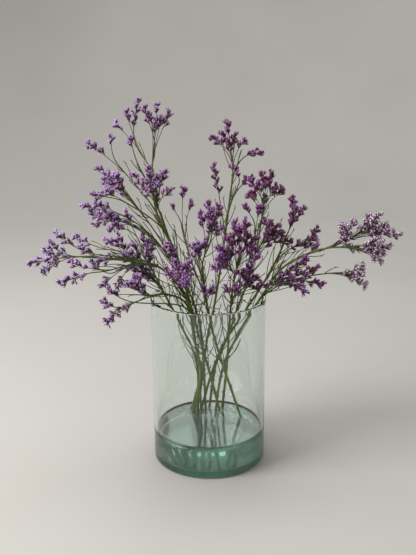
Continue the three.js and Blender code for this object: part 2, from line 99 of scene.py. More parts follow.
def quarter(middle, radius, start, way=1, steps=EDGE_STEPS):
    """[radius, height] points on a quarter of a circle, from the start angle on, or back if way is -1."""
    turn = start + way * np.linspace(0, math.pi / 2, steps)
    return np.stack([middle[0] + radius * np.cos(turn), middle[1] + radius * np.sin(turn)], axis=-1)


def turned(profile, columns, waves=0.0):
    """A solid of revolution about Z from a profile of [radius, height] pairs. The sum of some sine
    waves in the angle and the height moves the wall out and in, and dies away towards the axis and
    the ends."""
    radius, height = profile[:, 0, None], profile[:, 1, None]
    turn = round_steps(columns)[None, :]
    swell = sum(
        size * np.sin(times * turn + rise * height + start) for size, times, rise, start in WALL_SWELLS)
    calm = np.clip(radius / VASE_RADIUS, 0, 1) ** 4 * np.sin(math.pi * np.clip(height / VASE_HEIGHT, 0, 1))
    uneven = radius + waves * swell * calm
    rings = np.stack([uneven * np.cos(turn), uneven * np.sin(turn), height + 0 * uneven], axis=-1)
    return closed_skin(rings, (0, 0, profile[0, 1]), (0, 0, profile[-1, 1]))


def mesh_object(name, skin, finishes, finish_of=None, marks=None):
    """A smooth-shaded mesh object of a skin's points, quads and triangles. finish_of gives each face's
    place in the list of finishes, quads first, and marks are named numbers or vectors of the points."""
    points, quads, triangles = skin
    mesh = bpy.data.meshes.new(name)
    mesh.vertices.add(len(points))
    mesh.vertices.foreach_set("co", points.astype(np.float32).ravel())
    corners = np.concatenate([quads.ravel(), triangles.ravel()])
    mesh.loops.add(len(corners))
    mesh.loops.foreach_set("vertex_index", corners.astype(np.int32))
    sizes = np.repeat([4, 3], [len(quads), len(triangles)])
    mesh.polygons.add(len(sizes))
    mesh.polygons.foreach_set("loop_start", (np.cumsum(sizes) - sizes).astype(np.int32))
    for finish in finishes:
        mesh.materials.append(finish)
    if finish_of is not None:
        mesh.polygons.foreach_set("material_index", finish_of.astype(np.int32))
    mesh.polygons.foreach_set("use_smooth", np.ones(len(sizes), bool))
    for mark, values in (marks or {}).items():
        kind, key = ("FLOAT", "value") if values.ndim == 1 else ("FLOAT_VECTOR", "vector")
        mesh.attributes.new(mark, kind, "POINT").data.foreach_set(key, values.astype(np.float32).ravel())
    mesh.update(calc_edges=True)
    made = bpy.data.objects.new(name, mesh)
    bpy.context.scene.collection.objects.link(made)
    return made


class Wire:
    """One output of a shader node. +, - and * between wires and numbers add Math nodes."""

    def __init__(self, finish, socket):
        self.finish, self.socket = finish, socket

    def math(self, operation, *values):
        return self.finish.node("Math", {"operation": operation}, dict(enumerate(values)))

    def __add__(self, other):
        return self.math("ADD", self, other)

    def __sub__(self, other):
        return self.math("SUBTRACT", self, other)

    def __rsub__(self, other):
        return self.math("SUBTRACT", other, self)

    def __mul__(self, other):
        return self.math("MULTIPLY", self, other)

    __radd__, __rmul__ = __add__, __mul__


class Finish:
    """A material and its tree of nodes."""

    def __init__(self, name):
        self.material = bpy.data.materials.new(name)
        self.material.use_nodes = True
        self.tree = self.material.node_tree
        self.tree.nodes.clear()

    def node(self, kind, settings, inputs, output=0):
        """A node of the kind: its settings are made first, then its sockets get values or wires."""
        made = self.tree.nodes.new("ShaderNode" + kind)
        for setting, value in settings.items():
            if setting == "stops":
                ramp = made.color_ramp
                while len(ramp.elements) < len(value):
                    ramp.elements.new(0.5)
                for stop, (place, color) in zip(ramp.elements, value):
                    stop.position, stop.color = place, (*color, 1)
            else:
                setattr(made, setting, value)
        for name, value in inputs.items():
            socket = made.inputs[name]
            if isinstance(value, Wire):
                self.tree.links.new(value.socket, socket)
            else:
                socket.default_value = (*value, 1) if socket.type == "RGBA" else value
        return Wire(self, made.outputs[output])

    def place(self):
        """Where a point of the piece is, in metres."""
        return self.node("TexCoord", {}, {}, output="Object")

    def mark(self, name, output="Fac"):
        """The mark of that name on the points of the piece."""
        return self.node("Attribute", {"attribute_name": name}, {}, output=output)

    def noise(self, place, scale, detail):
        """Soft noise from 0 to 1, with about so many patches a metre."""
        return self.node("TexNoise", {}, {"Vector": place, "Scale": scale, "Detail": detail})

    def ramp(self, share, *stops):
        """The colour at a share of the way along some stops, each a share and a colour."""
        return self.node("ValToRGB", {"stops": stops}, {"Fac": share})

    def blend(self, share, first, second, how="MIX"):
        """A colour that goes from the first to the second."""
        settings = {"data_type": "RGBA", "blend_type": how}
        return self.node("Mix", settings, {0: share, 6: first, 7: second}, output=2)

    def bump(self, height, distance, strength):
        """The normal of a surface that is raised by the height times the distance."""
        return self.node("Bump", {}, {"Strength": strength, "Distance": distance, "Height": height})

    def done(self, sockets, volume=None):
        """Wires a surface with these sockets to the material's output, and gives back the material."""
        made = self.tree.nodes.new("ShaderNodeOutputMaterial")
        surface = self.node("BsdfPrincipled", {}, sockets)
        self.tree.links.new(surface.socket, made.inputs["Surface"])
        if volume:
            self.tree.links.new(volume.socket, made.inputs["Volume"])
        return self.material


def clear_finish(name, ior, tint, density, wave_height, wave_size, bubble_height=0.0):
    """A clear material. It takes light away by its tint, per metre of the way through it. Slow waves
    of the given height and sizes bend what is seen through its surface, and so do small round
    bubbles. Up to a hair over what it stands on it is ground matt."""
    finish = Finish(name)
    place = finish.place()
    height_over_floor = finish.node("SeparateXYZ", {}, {"Vector": place}, output="Z")
    ground = height_over_floor.math("LESS_THAN", height_over_floor, GROUND_HEIGHT)
    stretched = finish.node("VectorMath", {"operation": "DIVIDE"}, {0: place, 1: wave_size})
    waves = finish.noise(stretched, 1.0, 1.0)
    cells = finish.node("TexVoronoi", {}, {"Vector": place, "Scale": 1 / BUBBLE_SPACING})
    bubbles = cells.math("MAXIMUM", BUBBLE_RADIUS - cells, 0.0)
    height = wave_height * waves + (bubble_height / BUBBLE_RADIUS) * bubbles
    sockets = {
        "Base Color": (1.0, 1.0, 1.0), "Roughness": GROUND_MATT * ground, "IOR": ior,
        "Transmission Weight": 1.0, "Normal": finish.bump(height, 1.0, 1.0)}
    return finish.done(sockets, finish.node("VolumeAbsorption", {}, {"Color": tint, "Density": density}))


vase_glass = clear_finish(
    "recycled_glass", ior=1.5, tint=(0.42, 0.68, 0.58), density=30.0, wave_height=0.16 * MM,
    wave_size=(26 * MM, 26 * MM, 190 * MM), bubble_height=0.5 * MM)
wall_up = np.linspace(VASE_EDGE, VASE_HEIGHT - RIM_ROUND, WALL_STEPS)[1:-1, None]
wall_down = np.linspace(VASE_HEIGHT - RIM_ROUND, VASE_FLOOR + VASE_EDGE, WALL_STEPS)[1:-1, None]
vase_profile = np.vstack([
    [[VASE_RADIUS * share, 0] for share in FLAT_RINGS],
    quarter((VASE_RADIUS - VASE_EDGE, VASE_EDGE), VASE_EDGE, -math.pi / 2),
    np.hstack([wall_up * 0 + VASE_RADIUS, wall_up]),
    quarter((VASE_RADIUS - RIM_ROUND, VASE_HEIGHT - RIM_ROUND), RIM_ROUND, 0),
    quarter((INNER_RADIUS + RIM_ROUND, VASE_HEIGHT - RIM_ROUND), RIM_ROUND, math.pi / 2),
    np.hstack([wall_down * 0 + INNER_RADIUS, wall_down]),
    quarter((INNER_RADIUS - VASE_EDGE, VASE_FLOOR + VASE_EDGE), VASE_EDGE, 0, way=-1),
    [[INNER_RADIUS * share, VASE_FLOOR] for share in FLAT_RINGS[::-1]],
])
vase = mesh_object("glass_vase", turned(vase_profile, VASE_COLUMNS, WALL_WAVES), [vase_glass])
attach(vase, "root")
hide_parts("vase")

# The water. A few centimetres of it in the bottom of the vase, climbing a little where it wets the
# glass. Its outside lies a hair inside the glass, so that no film of air shows between the two.

WATER_LEVEL = 42.8 * MM
MENISCUS = 1.6 * MM
MENISCUS_REACH = 1.3 * MM
WETTING = 0.35 * MM
WET_RADIUS = INNER_RADIUS + WETTING
# In millimetres, how high the rings up the water's side are, and how far in those of its surface.
WATER_HEIGHTS = (20, 28, 36)
SURFACE_RINGS = (0, 0.35, 0.7, 1.2, 1.8, 2.6, 3.6, 5, 8, 14, 24, 38, 52)

water_clear = clear_finish(
    "water", ior=1.333, tint=(0.34, 0.70, 0.60), density=9.5, wave_height=0.05 * MM,
    wave_size=(12 * MM, 12 * MM, 12 * MM))
surface_radius = WET_RADIUS - np.array(SURFACE_RINGS) * MM
climb = np.exp((surface_radius - INNER_RADIUS) / MENISCUS_REACH).clip(0, 1)
water_profile = np.vstack([
    [[WET_RADIUS * share, VASE_FLOOR - WETTING] for share in FLAT_RINGS],
    quarter((WET_RADIUS - VASE_EDGE, VASE_FLOOR + VASE_EDGE - WETTING), VASE_EDGE, -math.pi / 2),
    [[WET_RADIUS, height * MM] for height in WATER_HEIGHTS],
    np.stack([surface_radius, WATER_LEVEL + MENISCUS * climb], axis=-1),
])
water = mesh_object("water_in_the_vase", turned(water_profile, VASE_COLUMNS), [water_clear])
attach(water, "root")
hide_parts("water")

# The green stems. Wiry, round and faintly ridged, they stand on the vase's floor, cross low down in
# it, lean on its rim and fork again and again above it. Knees and dry brown scales mark their nodes,
# and fine side twigs without flowers, the wisps, grow from them.

# A stem is [where it runs, from its foot up], [its branches]. A branch is its name, what it leaves,
# where it ends, and the tips of the twigs that carry on from there, all in millimetres.
STEMS = {
    "01": ([
        (-18, 57, 11), (-15, 34, 111), (-23, 16, 194), (-36, 14, 263), (-64, 26, 324), (-70, 38, 365),
        (-72, 46, 388),
    ], [
        ("a", "axis", (-69, 48, 398), [(-79, 40, 464), (-64, 58, 466), (-47, 44, 457)]),
        ("b", "axis", (-92, 64, 411), [(-90, 76, 470), (-104, 56, 457), (-119, 72, 439)]),
        ("c", "axis", (-90, 26, 399), [(-96, 16, 429)]),
        ("d", "axis", (-117, 48, 392), [(-126, 60, 426), (-152, 34, 419)]),
    ]),
    "02": ([
        (21, 53, 11), (-1, 23, 117), (-19, 0, 195), (-34, -20, 266), (-49, -28, 313), (-58, -32, 344),
    ], [
        ("a", "axis", (-62, -36, 353), [
            (-71, -44, 400), (-50, -32, 393), (-91, -24, 389), (-42, -50, 374), (-79, -12, 370),
        ]),
        ("b", "axis", (-100, 4, 358), [(-137, 2, 394), (-132, 22, 373), (-112, -12, 385)]),
        ("c", "axis", (-98, -44, 358), [(-138, -52, 369), (-118, -68, 377)]),
        ("d", "axis", (-110, -20, 339), [
            (-155, -28, 351), (-142, -6, 321), (-133, -42, 356), (-117, -36, 323),
        ]),
    ]),
    "03": ([
        (-22, 61, 11), (-7, 41, 112), (-15, 17, 172), (-27, -5, 222), (-56, -28, 269), (-84, -38, 282),
        (-122, -46, 289), (-150, -50, 293),
    ], [
        ("a", "axis", (-175, -52, 292), [
            (-220, -46, 283), (-197, -60, 302), (-187, -72, 317), (-202, -44, 272),
        ]),
        ("b", "axis", (-158, -34, 298), [(-190, -26, 317)]),
        ("c", "axis", (-121, -62, 297), [(-154, -70, 309), (-133, -60, 286)]),
        ("d", "axis", (-131, -84, 283), [(-175, -88, 270), (-163, -78, 294)]),
        ("e", "axis", (-112, -64, 277), [(-142, -62, 289), (-126, -72, 262), (-108, -56, 256)]),
    ]),
    "04": ([
        (-10, 61, 11), (-17, 13, 129), (-36, 6, 182), (-53, 8, 217), (-72, 20, 252), (-86, 32, 277),
    ], [
        ("a", "axis", (-92, 38, 293), [(-120, 32, 313), (-109, 50, 327)]),
        ("b", "axis", (-83, -22, 270), [(-107, -30, 288), (-94, -36, 255), (-93, -14, 297)]),
        ("c", "axis", (-78, 12, 276), [(-85, 18, 304), (-69, 2, 296)]),
        ("d", "axis", (-107, 60, 267), [(-139, 54, 288), (-123, 74, 289)]),
        ("e", "d", (-151, 78, 272), [(-185, 86, 285)]),
    ]),
    "05": ([
        (-27, 60, 11), (-11, 8, 110), (-18, -16, 170), (-27, -38, 226), (-51, -56, 246), (-71, -64, 245),
    ], [
        ("a", "axis", (-82, -78, 256), [(-97, -84, 268), (-84, -70, 274)]),
        ("b", "axis", (-105, -62, 232), [(-131, -66, 240), (-124, -58, 211)]),
        ("c", "axis", (-103, -42, 234), [(-126, -34, 245)]),
    ]),
    "06": ([
        (-4, 59, 11), (-7, 53, 110), (-10, 19, 171), (-19, -49, 236),
    ], [
        ("a", "axis", (-25, -90, 264), [
            (-39, -108, 301), (-21, -100, 299), (-51, -84, 285), (-25, -128, 287),
        ]),
        ("b", "axis", (-39, -56, 287), [(-50, -54, 309)]),
        ("c", "axis", (-3, -74, 243), [(-7, -80, 262), (5, -90, 262)]),
    ]),
    "07": ([
        (54, 26, 11), (23, 6, 114), (6, -8, 178), (-3, -28, 233), (-7, -34, 273),
    ], [
        ("a", "axis", (4, -54, 314), [(0, -58, 360), (14, -72, 358), (-10, -42, 343), (16, -60, 328)]),
        ("b", "axis", (-34, 34, 311), [(-47, 42, 336), (-31, 50, 357), (-20, 26, 343)]),
        ("c", "axis", (-12, -60, 288), [(-2, -64, 316), (-18, -70, 310)]),
    ]),
    "08": ([
        (-33, 57, 11), (-11, 31, 100), (-1, 26, 161), (8, 26, 203), (18, 38, 260), (27, 54, 321),
        (34, 66, 371),
    ], [
        ("a", "axis", (32, 70, 402), [(26, 66, 443), (50, 56, 418), (7, 84, 419)]),
        ("b", "axis", (47, 52, 397), [(71, 44, 404)]),
        ("c", "axis", (41, 44, 364), [(33, 36, 389), (56, 50, 371)]),
        ("d", "axis", (17, 86, 335), [(8, 98, 381)]),
    ]),
    "09": ([
        (-17, 64, 11), (5, 39, 103), (24, 23, 155), (39, 4, 208), (51, 0, 244), (62, 2, 283), (68, 6, 322),
    ], [
        ("a", "axis", (71, 8, 337), [
            (53, 0, 377), (67, -14, 387), (82, 20, 383), (98, 24, 360), (52, 24, 352),
        ]),
        ("b", "axis", (59, -18, 322), [(45, -26, 349), (64, -32, 349)]),
        ("c", "axis", (79, 32, 300), [(73, 40, 318), (92, 24, 312), (109, 32, 287)]),
    ]),
    "10": ([
        (17, 63, 11), (25, 22, 120), (27, -8, 181), (29, -40, 233), (32, -70, 273),
    ], [
        ("a", "axis", (37, -92, 301), [
            (30, -94, 345), (44, -104, 347), (56, -90, 324), (57, -112, 306), (21, -108, 329),
        ]),
        ("b", "axis", (21, -104, 295), [(12, -110, 320), (27, -92, 310), (9, -124, 298)]),
        ("c", "axis", (45, -82, 261), [(35, -92, 284), (51, -80, 288), (69, -70, 260)]),
        ("d", "axis", (27, -92, 250), [(21, -102, 269), (35, -106, 270)]),
    ]),
    "11": ([
        (-3, 64, 11), (12, 46, 118), (37, 30, 174), (61, 18, 217), (79, 16, 248), (96, 34, 275),
        (105, 48, 293),
    ], [
        ("a", "axis", (110, 54, 302), [(114, 62, 343), (127, 42, 332)]),
        ("b", "axis", (129, 60, 281), [(150, 72, 298), (146, 54, 277)]),
    ]),
    "12": ([
        (5, 33, 11), (18, 32, 104), (39, 8, 168), (69, -16, 230), (91, -26, 267), (115, -30, 285),
        (142, -32, 295),
    ], [
        ("a", "axis", (165, -32, 303), [(161, -40, 328), (180, -26, 328), (176, -48, 296)]),
        ("b", "axis", (191, -15, 311), [(202, -6, 332), (214, -18, 336), (238, -26, 310), (225, 4, 313)]),
        ("c", "axis", (190, -52, 300), [(222, -50, 302), (208, -62, 287), (201, -66, 315)]),
        ("d", "axis", (166, -66, 275), [(188, -60, 281), (189, -70, 259)]),
        ("e", "axis", (99, -66, 270), [
            (132, -72, 282), (135, -84, 264), (113, -94, 258), (119, -56, 288), (105, -58, 256),
        ]),
        ("f", "axis", (123, -8, 278), [(141, 0, 290)]),
    ]),
}
# How far a branch, or a twig by its place in the list, is bent aside to stay clear of the others.
BENT_ASIDE = {"12d": np.array([0.19, 3.1, 2.52]) * MM, "12a2": np.array([6.84, 4.15, 0]) * MM}
LINE_STEPS = 40
RING_PITCH = 3.2 * MM
GOLDEN_TURN = 2.4
# Forks are looked for on straight stretches of about these lengths, and a branch starts sunk in.
AXIS_STRETCH = 33 * MM
BRANCH_STRETCH = 22 * MM
FORK_ANGLE = math.radians(27)
FORK_FLOOR = 212 * MM
FORK_SEARCH = 0.1
SUNK = 3 * MM
FOOT_DROP = 2.2 * MM
# A tube's radii and ages at its two ends, and its sides. The age, from 0 to 1, goes with the colour.
AXIS_TUBE = (1.9 * MM, 1.25 * MM), (0, 0.6), 10
BRANCH_TUBE = (1.0 * MM, 0.72 * MM), (0.45, 0.8), 8
WISP_TUBE = (0.62 * MM, 0.42 * MM), (0.6, 0.95), 5
END_DOMES = (0.4, 0.6)
GRAIN_PITCH = 12 * MM
# A knee is the swelling of a stem at a node or a fork.
KNEE, KNEE_REACH = 0.42 * MM, 2 * MM
KNEE_HEIGHTS = (60 * MM, 200 * MM)
NODE_PITCH = 26 * MM
NODE_ENDS = (60 * MM, 20 * MM)
# The twist, in radians a metre, turns each node about half way round from the last.
NODE_TWIST = 40 / MM
# Lengths and widths of the scales, and how far from the middle of the stem they sit.
FORK_SCALE, FORK_SCALE_DROP, FORK_SCALE_OUT = (4.2 * MM, 1.3 * MM), 1.2 * MM, 1.0 * MM
NODE_SCALE, NODE_SCALE_OUT = (5.2 * MM, 1.4 * MM), 1.3 * MM
SCALE_LIFT = 0.35
# A wisp's two scales sit so far back from its tip, on the inner (-1) and on the outer side (1).
WISP_SCALE, WISP_SCALE_TILT = (3.4 * MM, 0.8 * MM), 0.01
WISP_SCALE_PLACES = ((0.4 * MM, -1), (3.6 * MM, 1))
# Wisps have their pitch and reach by the height of their root. Below the first height none grows.
WISP_SEED = 7
WISP_HEIGHTS = (100 * MM, 195 * MM, 290 * MM)
WISP_PITCHES = (16 * MM, 24 * MM, 9 * MM, 16 * MM)
WISP_REACHES = ((14, 36), (42, 76), (24, 52), (14, 36))
WISP_BENDS = ((0, 0), (0.3, 0.2), (0.6, 0.32), (0.92, 0.36))
AXIS_BARE, BRANCH_BARE, TIP_BARE = 90 * MM, 10 * MM, 8 * MM
# Far out to the sides they are only so long, and none comes near the wall or the rim of the vase.
OUTER_WISPS, OUTER_SHARE = 100 * MM, 0.5
WISP_CLEARANCE = 3 * MM
OVER_RIM = VASE_HEIGHT + 8 * MM


def unit(vectors):
    """The same directions, one long."""
    return vectors / np.linalg.norm(vectors, axis=-1, keepdims=True)


def through(points):
    """A smooth line through a few points. On each stretch it is the cubic that starts and ends with
    half the step between its two neighbours as its slope, the end points being mirrored for it."""
    points = np.array(points, float) * MM
    held = np.vstack([2 * points[0] - points[1], points, 2 * points[-1] - points[-2]])
    before, start, end, after = held[:-3], held[1:-2], held[2:-1], held[3:]
    t = (np.arange(LINE_STEPS) / LINE_STEPS)[:, None, None]
    line = start + 0.5 * (
        t * (end - before)
        + t**2 * (2 * before - 5 * start + 4 * end - after)
        + t**3 * (3 * start - before - 3 * end + after))
    return np.vstack([line.transpose(1, 0, 2).reshape(-1, 3), points[-1]])


def arc(handles, t):
    """A cubic Bezier curve: its four handles weighed by (1-t)^3, 3t(1-t)^2, 3t^2(1-t) and t^3."""
    t = np.atleast_1d(t)[:, None]
    weights = np.hstack([(1 - t) ** 3, 3 * t * (1 - t) ** 2, 3 * t**2 * (1 - t), t**3])
    return weights @ np.array(handles)


def bent(root, ahead, aside, length, bends):
    """The handles of an arc from a root. Each bend says how far a handle is ahead and how far aside,
    in lengths."""
    return [root + length * (forth * ahead + off * aside) for forth, off in bends]


def way_along(line):
    """How far along the line each of its points is."""
    return np.concatenate([[0], np.cumsum(np.linalg.norm(np.diff(line, axis=0), axis=1))])


def at(line, way):
    """The points that lie so far along the line."""
    ways = way_along(line)
    return np.stack([np.interp(way, ways, line[:, k]) for k in range(3)], axis=-1)


def evenly(line, pitch):
    """Points spaced evenly along the line, about one pitch apart."""
    length = way_along(line)[-1]
    return at(line, np.linspace(0, length, max(2, int(length / pitch + 0.5)) + 1))


def frames_of(line):
    """The heading at each point of a line, and two directions square to it. They are measured
    against the one of X, Y and Z that the line never comes near."""
    heading = unit(np.gradient(line, axis=0))
    level = np.eye(3)[np.argmin(np.abs(heading).max(axis=0))]
    side = unit(np.cross(heading, level))
    return heading, side, np.cross(heading, side)


def beside(line, way, turn):
    """The point so far along a line, the line's heading there, and the direction that points out
    from it at an angle round it, measured from a level direction that no stem follows."""
    root = at(line, way)
    heading = unit(at(line, way + MM) - at(line, way - MM))
    side = unit(np.cross(heading, (0.3, 1, 0)))
    return root, heading, math.cos(turn) * side + math.sin(turn) * np.cross(heading, side)


class Growth:
    """A piece while it is put together from many closed skins."""

    def __init__(self):
        self.skins, self.count = [], 0

    def add(self, skin, finish=0, copies=1, **marks):
        """A skin of one finish, or several copies of it whose points come one copy after the other."""
        points, quads, triangles = skin
        own = len(points) // copies
        shift = self.count + own * np.arange(copies)[:, None, None]
        quads, triangles = ((faces[None] + shift).reshape(-1, faces.shape[1]) for faces in (quads, triangles))
        self.skins.append((points, quads, triangles, finish, marks))
        self.count += len(points)

    def piece(self, name, finishes):
        """The mesh piece of all the skins together."""
        points, quads, triangles = (np.vstack([skin[k] for skin in self.skins]) for k in range(3))
        finish_of = np.concatenate([
            np.full(len(skin[k]), skin[3]) for k in (1, 2) for skin in self.skins])
        marks = {key: np.concatenate([skin[4][key] for skin in self.skins]) for key in self.skins[0][4]}
        return mesh_object(name, (points, quads, triangles), finishes, finish_of, marks)


def grow_tube(growth, line, radii, ages, sides, knees=()):
    """A round skin along a line: at each point a circle square to it, whose radius goes evenly from
    the first of the radii to the second, with a bell-shaped swelling at each knee. Its ends are
    slightly domed. The grain runs round with the angle and slowly along with the way."""
    heading, side, up = frames_of(line)
    way = way_along(line)
    radius = np.interp(way, [0, way[-1]], radii)
    for knee in knees:
        radius = radius + KNEE * np.exp(-(((way - knee) / KNEE_REACH) ** 2))
    turn = round_steps(sides)[None, :, None]
    spokes = np.cos(turn) * side[:, None] + np.sin(turn) * up[:, None]
    rings = line[:, None] + radius[:, None, None] * spokes
    first = line[0] - END_DOMES[0] * radius[0] * heading[0]
    last = line[-1] + END_DOMES[1] * radius[-1] * heading[-1]
    age = np.interp(way, [0, way[-1]], ages)
    grain = np.dstack([
        np.broadcast_to(part, rings.shape[:2])
        for part in (np.cos(turn)[..., 0], np.sin(turn)[..., 0], way[:, None] / GRAIN_PITCH)
    ]).reshape(-1, 3)
    growth.add(
        closed_skin(rings, first, last),
        grain=np.vstack([grain, grain[:1] * 0, grain[-1:] * [0, 0, 1]]),
        age=np.concatenate([np.repeat(age, sides), age[[0, -1]]]),
    )


def scale_skin(length, width, lift):
    """A scale leaf that hugs what it sits on: two fans of four triangles, one on its outer and one
    on its inner face, from a middle that stands out by the lift to a base, two corners and a tip."""
    corners = np.array([
        [0, 0, 0], [width, 0, 0.4 * length], [0, -lift, length], [-width, 0, 0.4 * length]])
    middles = np.array([[0, -lift, 0.42 * length], [0, -0.55 * lift, 0.42 * length]])
    index = np.arange(4)
    following = np.roll(index, -1)
    outer = np.stack([np.full(4, 4), index, following], axis=-1)
    inner = np.stack([np.full(4, 5), following, index], axis=-1)
    return np.vstack([corners, middles]), np.zeros((0, 4), int), np.vstack([outer, inner])


def placed(local, roots, spokes, sizes):
    """Copies of some local points, each carried to its root, turned to its own three directions
    (across, back and forward) and scaled."""
    return (roots[:, None] + sizes[:, None, None] * np.einsum("nvk,nkd->nvd", local, spokes)).reshape(-1, 3)


def grow_scale(growth, root, heading, out, size):
    """A scale leaf on a stem, pointing along it and standing on the side that `out` points to."""
    length, width = size
    back = unit(heading * (out @ heading) - out)
    across = np.cross(back, heading)
    points, quads, triangles = scale_skin(length, width, SCALE_LIFT * length)
    carried = placed(points[None], root[None], np.stack([across, back, heading])[None], np.ones(1))
    growth.add(
        (carried, quads, triangles), finish=1,
        grain=points / length, age=np.clip(points[:, 2] / length, 0, 1))


def fork_of(spine, end):
    """Where a branch to `end` leaves a spine of straight stretches: the highest place, searched from
    the tip down in tenths of a stretch, at which it turns off by less than the fork angle, or else
    the lowest place over the fork floor."""
    fork = None
    for low, high in zip(spine[-2::-1], spine[:0:-1]):
        heading = unit(high - low)
        for share in np.arange(1, FORK_SEARCH / 2, -FORK_SEARCH):
            point = low + share * (high - low)
            if fork is not None and point[2] < FORK_FLOOR:
                return fork
            fork = point, heading
            if unit(end - point) @ heading > math.cos(FORK_ANGLE):
                return fork
    return fork


def branch_handles(fork, heading, end, tips, aside):
    """A branch leaves its fork along the parent, and arrives half way between its own line and the
    mean direction of its twigs."""
    arrival = unit(unit(unit(tips - end).sum(axis=0)) + unit(end - fork))
    reach = np.linalg.norm(end - fork) / 3
    handles = [fork - heading * SUNK, fork + heading * reach + aside, end - arrival * reach + aside, end]
    return handles, arrival


def grow_wisp(growth, handles, heading, out):
    """A fine side twig without flowers, on a cubic arc. It ends in two little scales."""
    line = evenly(arc(handles, np.linspace(0, 1, LINE_STEPS)), RING_PITCH)
    grow_tube(growth, line, *WISP_TUBE)
    forward = unit(line[-1] - line[-2])
    for back, side in WISP_SCALE_PLACES:
        root = at(line, way_along(line)[-1] - back)
        grow_scale(growth, root, forward, side * out + WISP_SCALE_TILT * heading, WISP_SCALE)


def grow_wisps(growth, draws, line, way):
    """Wisps up a line, from a way along it on, each a golden turn round from the last. None hangs
    down, comes near the glass or stands out of the model's box."""
    length = way_along(line)[-1]
    turn = draws.uniform(0, 2 * math.pi)
    while way < length - TIP_BARE:
        root, heading, out = beside(line, way, turn)
        zone = np.searchsorted(WISP_HEIGHTS, root[2])
        reach = draws.uniform(*WISP_REACHES[zone]) * MM
        reach *= OUTER_SHARE if abs(root[0]) > OUTER_WISPS else 1
        handles = bent(root, heading, out, reach, WISP_BENDS)
        tip = handles[-1]
        room = INNER_RADIUS - WISP_CLEARANCE if min(root[2], tip[2]) < OVER_RIM else math.inf
        boxed = np.all((tip > CAD_BOX[0]) & (tip < CAD_BOX[1]))
        if zone and boxed and tip[2] > root[2] and np.hypot(*tip[:2]) < room:
            grow_wisp(growth, handles, heading, out)
        turn += GOLDEN_TURN
        way += WISP_PITCHES[zone]


def stem_finish():
    """Stem green: fresh and yellowish at the foot, deeper further up, duller and a little brown in the
    twigs, with darker flecks. Fine ridges run along it, in the grain."""
    finish = Finish("stem_green")
    place = finish.place()
    ridges = finish.noise(finish.mark("grain", "Vector"), 3.2, 2.0)
    flecks = finish.noise(place, 160.0, 2.0)
    patches = finish.noise(place, 26.0, 1.0)
    green = finish.ramp(
        finish.mark("age") + 0.25 * patches - 0.125,
        (0.0, (0.26, 0.37, 0.006)), (0.27, (0.165, 0.29, 0.004)), (0.48, (0.062, 0.112, 0.006)),
        (0.85, (0.038, 0.054, 0.009)), (1.0, (0.052, 0.04, 0.016)))
    dark = finish.blend(0.6 * flecks, green, (0.026, 0.038, 0.007))
    color = finish.blend(0.35 * ridges, dark, (0.16, 0.22, 0.04))
    return finish.done({
        "Base Color": color, "Roughness": 0.46 + 0.22 * flecks,
        "Normal": finish.bump(ridges, 0.25 * MM, 0.6), "Specular IOR Level": 0.28})


def scale_finish():
    """A dry scale: brown with a green root and a pale papery edge."""
    finish = Finish("dry_scale")
    flecks = finish.noise(finish.place(), 420.0, 2.0)
    color = finish.ramp(
        finish.mark("age") + 0.3 * flecks - 0.15,
        (0.0, (0.09, 0.11, 0.03)), (0.45, (0.13, 0.07, 0.035)), (0.8, (0.11, 0.04, 0.035)),
        (1.0, (0.33, 0.24, 0.17)))
    return finish.done({
        "Base Color": color, "Roughness": 0.7, "Normal": finish.bump(flecks, 0.1 * MM, 0.4)})


wisp_draws = np.random.default_rng(WISP_SEED)
stems, heads = {}, []
for number, (points, branches) in STEMS.items():
    stem = stems[number] = Growth()
    axis = through(points)
    lines = {"axis": evenly(axis, RING_PITCH)}
    spines = {"axis": evenly(axis, AXIS_STRETCH)}
    knees = {"axis": list(np.arange(*KNEE_HEIGHTS, NODE_PITCH))}
    for letter, parent, end, tips in branches:
        end, tips = np.array(end) * MM, np.array(tips) * MM
        fork, heading = fork_of(spines[parent], end)
        nearest = np.argmin(np.linalg.norm(lines[parent] - fork, axis=1))
        fork = lines[parent][nearest]
        knees[parent].append(way_along(lines[parent])[nearest])
        handles, arrival = branch_handles(fork, heading, end, tips, BENT_ASIDE.get(number + letter, 0))
        line = arc(handles, np.linspace(0, 1, 2 * LINE_STEPS))
        lines[letter], spines[letter] = evenly(line, RING_PITCH), evenly(line, BRANCH_STRETCH)
        knees[letter] = []
        out = unit(end - fork)
        off = unit(out - heading * (out @ heading))
        grow_scale(stem, fork - heading * FORK_SCALE_DROP + off * FORK_SCALE_OUT, heading, out, FORK_SCALE)
        heads.append((number + letter, stem, line, end, tips, arrival))
    foot = axis[0] - FOOT_DROP * unit(axis[1] - axis[0])
    grow_tube(stem, np.vstack([foot, lines["axis"]]), *AXIS_TUBE, knees["axis"])
    for letter, line in lines.items():
        if letter != "axis":
            grow_tube(stem, line, *BRANCH_TUBE, knees[letter])
    for letter, line in lines.items():
        grow_wisps(stem, wisp_draws, line, AXIS_BARE if letter == "axis" else BRANCH_BARE)
    first_node, last_node = NODE_ENDS[0], way_along(lines["axis"])[-1] - NODE_ENDS[1]
    for way in np.arange(first_node, last_node, NODE_PITCH):
        root, heading, out = beside(lines["axis"], way, NODE_TWIST * way)
        grow_scale(stem, root + NODE_SCALE_OUT * out, heading, out, NODE_SCALE)

# The flowers. Twigs leave a branch one below the other, and short side stalks fan out round them. The
# stalks and the twigs' ends carry florets in groups of three. A floret sits in a small scale: a papery,
# pleated violet calyx, with a small corolla in it, bluish and open while fresh, then dark and shut.

FLORET_SEED = 13
TWIG_TUBE = (0.72 * MM, 0.36 * MM), (0.8, 1.0), 6
LOW_TWIG_TUBE = (0.576 * MM, 0.36 * MM), (0.8, 1.0), 6
STALK_TUBE = (0.42 * MM, 0.26 * MM), (0.9, 1.0), 4
